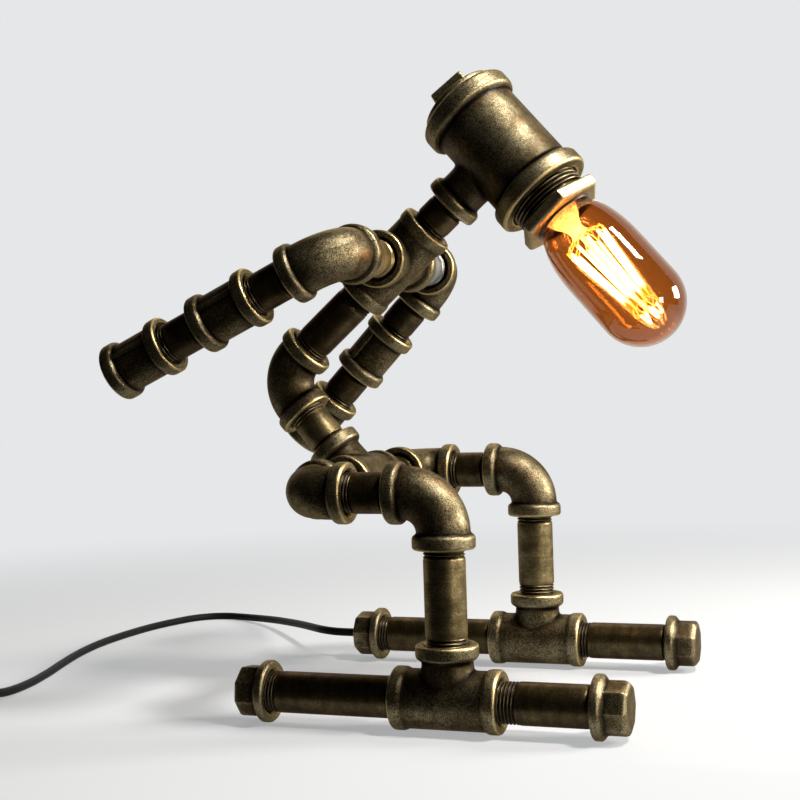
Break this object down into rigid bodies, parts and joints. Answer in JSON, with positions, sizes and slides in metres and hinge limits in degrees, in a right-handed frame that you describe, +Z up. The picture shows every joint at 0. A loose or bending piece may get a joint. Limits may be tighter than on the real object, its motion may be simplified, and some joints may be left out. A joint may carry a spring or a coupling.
{
  "type": "desk lamp",
  "caption": "Desk lamp shaped as a sitting robot of screwed pipe fittings, with hinged arms, hips and neck, and a tubular amber bulb.",
  "frame": {"origin": "on the ground, midway between the furthest front and back points of the lamp without its cord, in its middle plane", "axes": "+X is where the figure looks, +Y is its left side, +Z is up"},
  "size_m": [0.4734, 0.4515, 0.3443],
  "materials": {
    "bronzed_iron": "antique bronze over cast iron, rubbed bright on the rims",
    "golden_fitting": "aged brass tone, rubbed bright on the edges",
    "dark_pipe": "dark bronze, satin, faint turning lines",
    "golden_pipe": "rubbed golden brown, satin",
    "bare_pipe": "bare grey steel, satin",
    "black_bakelite": "black, semi-gloss",
    "plain_brass": "plain brass, satin",
    "amber_glass": "clear amber glass",
    "clear_glass": "clear glass",
    "glowing_filament": "filament wire, lit",
    "black_rubber": "matt black",
    "black_cord": "matt black sheath",
    "black_plastic": "black, fine grain"
  },
  "bodies": {
    "base": {"right_foot_tee": "bronzed_iron", "right_heel_nipple": "dark_pipe", "right_toe_nipple": "dark_pipe", "right_heel_cap": "bronzed_iron", "right_toe_cap": "bronzed_iron", "right_shin_nipple": "dark_pipe", "right_knee_elbow": "bronzed_iron", "right_thigh_nipple": "dark_pipe", "right_hip_elbow": "bronzed_iron", "right_hip_nipple": "dark_pipe", "left_foot_tee": "bronzed_iron", "left_heel_nipple": "dark_pipe", "left_toe_nipple": "dark_pipe", "left_heel_cap": "bronzed_iron", "left_toe_cap": "bronzed_iron", "left_shin_nipple": "dark_pipe", "left_knee_elbow": "bronzed_iron", "left_thigh_nipple": "dark_pipe", "left_hip_elbow": "bronzed_iron", "left_hip_nipple": "dark_pipe", "leg_lead": "black_cord", "cord_grommet": "black_rubber", "power_cord": "black_cord", "cord_coil": "black_cord", "coil_tie": "black_plastic", "switch_base": "black_plastic", "switch_cover": "black_plastic", "power_plug": "black_plastic", "plug_pins": "plain_brass"},
    "torso": {"pelvis_tee": "bronzed_iron", "waist_nipple": "dark_pipe", "back_elbow": "bronzed_iron", "trunk_nipple": "dark_pipe", "chest_cross": "bronzed_iron", "right_shoulder_nipple": "golden_pipe", "left_shoulder_nipple": "bare_pipe", "neck_nipple": "dark_pipe", "trunk_lead": "black_cord"},
    "right_arm": {"right_shoulder_elbow": "bronzed_iron", "right_upper_arm_nipple": "dark_pipe", "right_arm_coupling": "bronzed_iron", "right_forearm_nipple": "dark_pipe", "right_hand_coupling": "bronzed_iron"},
    "left_arm": {"left_shoulder_elbow": "bronzed_iron", "left_upper_arm_nipple": "dark_pipe", "left_arm_coupling": "bronzed_iron", "left_forearm_nipple": "dark_pipe", "left_hand_coupling": "bronzed_iron"},
    "head": {"head_tee": "bronzed_iron", "crown_plug": "bronzed_iron", "head_bushing": "golden_fitting", "lampholder": "black_bakelite", "screw_shell": "plain_brass", "centre_contact": "plain_brass", "bulb_cap": "plain_brass", "bulb_glass": "amber_glass", "bulb_stem": "clear_glass", "bulb_filament": "glowing_filament", "head_lead": "black_cord"},
    "rocker": {"switch_rocker": "black_plastic"}
  },
  "joints": [
    {"name": "hip_lean", "type": "hinge", "parent": "base", "child": "torso", "pos_m": [-0.03826, 0, 0.1192], "axis": [0, 1, 0], "range_deg": [-10, 15]},
    {"name": "right_shoulder_swing", "type": "hinge", "parent": "torso", "child": "right_arm", "pos_m": [-0.01431, -0.0578, 0.24246], "axis": [0, 1, 0], "range_deg": [-35, 140]},
    {"name": "left_shoulder_swing", "type": "hinge", "parent": "torso", "child": "left_arm", "pos_m": [-0.01431, 0.0578, 0.24246], "axis": [0, 1, 0], "range_deg": [-12, 160]},
    {"name": "neck_turn", "type": "hinge", "parent": "torso", "child": "head", "pos_m": [0.05198, 0, 0.29927], "axis": [0.7593, 0, 0.6508], "range_deg": [-50, 50]},
    {"name": "switch_rock", "type": "hinge", "parent": "base", "child": "rocker", "pos_m": [-0.236, -0.135, 0.011], "axis": [1, 0, 0], "range_deg": [0, 14]}
  ]
}
